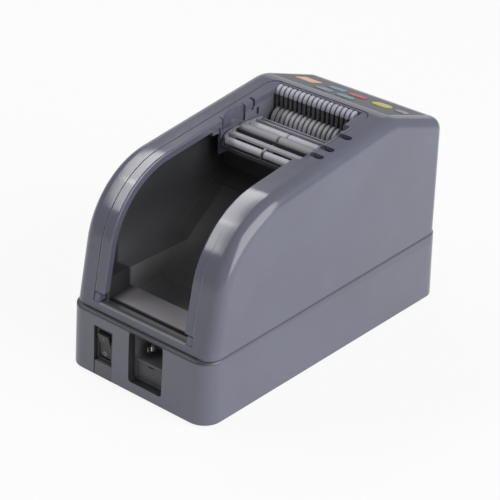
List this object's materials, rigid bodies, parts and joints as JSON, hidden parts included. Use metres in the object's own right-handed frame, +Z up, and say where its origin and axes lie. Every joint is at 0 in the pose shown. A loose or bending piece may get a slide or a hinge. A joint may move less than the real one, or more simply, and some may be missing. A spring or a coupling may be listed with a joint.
{
  "type": "electric tape dispenser",
  "caption": "Desk machine that feeds and cuts tape: grey moulded body, open roll well, guide and ring rollers, comb, colour keys, rotary cutter, front guard, rocker switch and inlet.",
  "frame": {"origin": "on the desk, under the middle of the base", "axes": "+Y towards the front where the tape comes out, +X to the right of someone behind the machine, +Z up"},
  "size_m": [0.114, 0.235, 0.1454],
  "materials": {
    "body_grey": "fine satin",
    "dark_plastic": "fine texture",
    "black_plastic": "satin",
    "comb_grey": "satin",
    "rubber": "matte",
    "steel": "drawn",
    "brass": "turned",
    "gear_white": "moulded",
    "board_green": "lacquered",
    "overlay": "printed film",
    "amber_window": "clear cast",
    "key_teal": "moulded",
    "key_red": "moulded",
    "key_yellow": "moulded",
    "key_pale": "moulded",
    "winding": "taped winding",
    "capacitor": "sleeved"
  },
  "bodies": {
    "chassis": {"base_tray": "body_grey", "switch_slot_plate": "body_grey", "rubber_feet": "rubber", "base_screws": "steel", "upper_housing": "body_grey", "rim_frame": "body_grey", "well_tub": "dark_plastic", "switch_body": "black_plastic", "switch_terminals": "brass", "inlet_body": "black_plastic", "inlet_pins": "steel", "control_overlay": "overlay", "display_window": "amber_window", "display_module": "black_plastic", "control_board": "board_green", "key_switches": "black_plastic", "comb_guard": "comb_grey", "stripper_fingers": "dark_plastic", "feed_motor": "steel", "side_frame_left": "steel", "side_frame_right": "steel", "frame_spacers": "steel", "shaft_bushes": "brass", "lower_guide": "steel", "upper_guide": "steel", "fixed_blade": "steel", "blade_bar": "steel", "cutter_motor": "steel", "exit_plate": "steel", "exit_sensor": "black_plastic", "guard_pins": "steel", "power_board": "board_green", "power_transformer": "winding", "board_capacitors": "capacitor"},
    "rocker": {"switch_rocker": "black_plastic"},
    "fuse_drawer": {"fuse_drawer": "black_plastic"},
    "key_teal_rear": {"key_teal_rear": "key_teal"},
    "key_teal_left": {"key_teal_left": "key_teal"},
    "key_teal_right": {"key_teal_right": "key_teal"},
    "key_red": {"key_red": "key_red"},
    "key_yellow": {"key_yellow": "key_yellow"},
    "key_pale": {"key_pale": "key_pale"},
    "carriage": {"roller_carriage": "steel"},
    "front_guide_roller": {"front_guide_roller": "steel"},
    "middle_guide_roller": {"middle_guide_roller": "steel"},
    "rear_guide_roller": {"rear_guide_roller": "steel"},
    "drive": {"drive_roller_shaft": "steel", "drive_roller_sleeve": "rubber", "drive_gear": "gear_white", "feed_gear": "gear_white"},
    "ring": {"ring_roller_shaft": "steel", "ring_roller_rings": "dark_plastic", "ring_gear": "gear_white"},
    "feed_pinion": {"feed_pinion": "brass"},
    "cutter": {"blade_shaft": "steel", "rotary_blade": "steel", "cutter_gear": "gear_white"},
    "cutter_pinion": {"cutter_pinion": "brass"},
    "front_guard": {"front_guard": "dark_plastic"}
  },
  "joints": [
    {"name": "rocker_tip", "type": "hinge", "parent": "chassis", "child": "rocker", "pos_m": [-0.0266, -0.1126, 0.024], "axis": [-1, 0, 0], "range_deg": [0, 20]},
    {"name": "fuse_drawer_slide", "type": "slide", "parent": "chassis", "child": "fuse_drawer", "axis": [0, -1, 0], "range_m": [0, 0.01]},
    {"name": "key_teal_rear_press", "type": "slide", "parent": "chassis", "child": "key_teal_rear", "axis": [0, -0.2974, -0.9548], "range_m": [0, 0.0004], "stiffness_N_per_m": 2000},
    {"name": "key_teal_left_press", "type": "slide", "parent": "chassis", "child": "key_teal_left", "axis": [0, -0.2974, -0.9548], "range_m": [0, 0.0004], "stiffness_N_per_m": 2000},
    {"name": "key_teal_right_press", "type": "slide", "parent": "chassis", "child": "key_teal_right", "axis": [0, -0.2974, -0.9548], "range_m": [0, 0.0004], "stiffness_N_per_m": 2000},
    {"name": "key_red_press", "type": "slide", "parent": "chassis", "child": "key_red", "axis": [0, -0.2974, -0.9548], "range_m": [0, 0.0004], "stiffness_N_per_m": 2000},
    {"name": "key_yellow_press", "type": "slide", "parent": "chassis", "child": "key_yellow", "axis": [0, -0.2974, -0.9548], "range_m": [0, 0.0004], "stiffness_N_per_m": 2000},
    {"name": "key_pale_press", "type": "slide", "parent": "chassis", "child": "key_pale", "axis": [0, -0.2974, -0.9548], "range_m": [0, 0.0004], "stiffness_N_per_m": 2000},
    {"name": "carriage_tip", "type": "hinge", "parent": "chassis", "child": "carriage", "pos_m": [0, 0.0055, 0.123], "axis": [1, 0, 0], "range_deg": [0, 20]},
    {"name": "front_guide_spin", "type": "hinge", "parent": "carriage", "child": "front_guide_roller", "pos_m": [0, 0.0186, 0.1257], "axis": [1, 0, 0], "continuous": true},
    {"name": "middle_guide_spin", "type": "hinge", "parent": "carriage", "child": "middle_guide_roller", "pos_m": [0, 0.01, 0.1264], "axis": [1, 0, 0], "continuous": true},
    {"name": "rear_guide_spin", "type": "hinge", "parent": "carriage", "child": "rear_guide_roller", "pos_m": [0, -0.0046, 0.1227], "axis": [1, 0, 0], "continuous": true},
    {"name": "drive_spin", "type": "hinge", "parent": "chassis", "child": "drive", "pos_m": [0, 0.0455, 0.1048], "axis": [1, 0, 0], "continuous": true},
    {"name": "ring_spin", "type": "hinge", "parent": "chassis", "child": "ring", "pos_m": [0, 0.0455, 0.1228], "axis": [1, 0, 0], "continuous": true},
    {"name": "feed_pinion_spin", "type": "hinge", "parent": "chassis", "child": "feed_pinion", "pos_m": [0, 0.0455, 0.0808], "axis": [1, 0, 0], "continuous": true},
    {"name": "cutter_spin", "type": "hinge", "parent": "chassis", "child": "cutter", "pos_m": [0, 0.084, 0.1025], "axis": [1, 0, 0], "continuous": true},
    {"name": "cutter_pinion_spin", "type": "hinge", "parent": "chassis", "child": "cutter_pinion", "pos_m": [0, 0.084, 0.0765], "axis": [1, 0, 0], "continuous": true},
    {"name": "front_guard_swing", "type": "hinge", "parent": "chassis", "child": "front_guard", "pos_m": [0, 0.11149, 0.1225], "axis": [1, 0, 0], "range_deg": [0, 80]}
  ],
  "couplings": [
    {"joint": "ring_spin", "follows": "drive_spin", "ratio": -1},
    {"joint": "feed_pinion_spin", "follows": "drive_spin", "ratio": -3},
    {"joint": "cutter_pinion_spin", "follows": "cutter_spin", "ratio": -3.3333}
  ]
}
